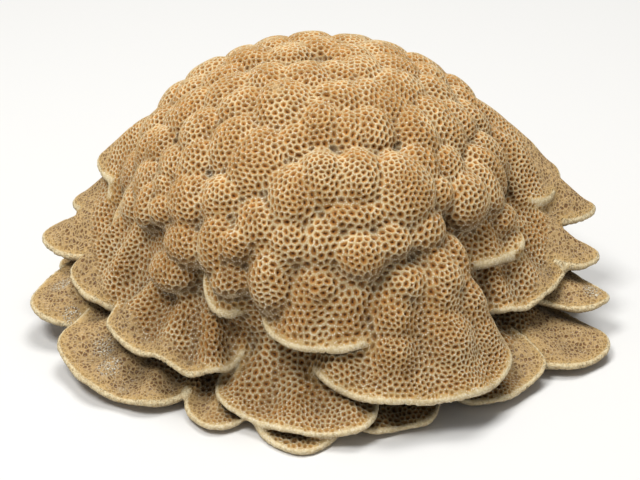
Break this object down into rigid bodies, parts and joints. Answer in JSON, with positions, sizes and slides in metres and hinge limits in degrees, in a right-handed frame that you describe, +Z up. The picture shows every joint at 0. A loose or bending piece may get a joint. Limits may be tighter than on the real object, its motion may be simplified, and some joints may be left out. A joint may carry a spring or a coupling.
{
  "type": "porites coral colony",
  "caption": "Dry coral colony with a knobby domed crown over tiers of thin scalloped ledges, cut off flat below so that it stands by itself.",
  "frame": {"origin": "centre of the flat cut that the colony stands on", "axes": "+Z up through the crown, -Y towards the viewer of the picture, +X to the viewer's right, along the colony's greatest width"},
  "size_m": [0.1487, 0.1326, 0.0728],
  "materials": {
    "coral_skeleton": "matte"
  },
  "bodies": {
    "root": {"coral_colony": "coral_skeleton"}
  },
  "joints": []
}
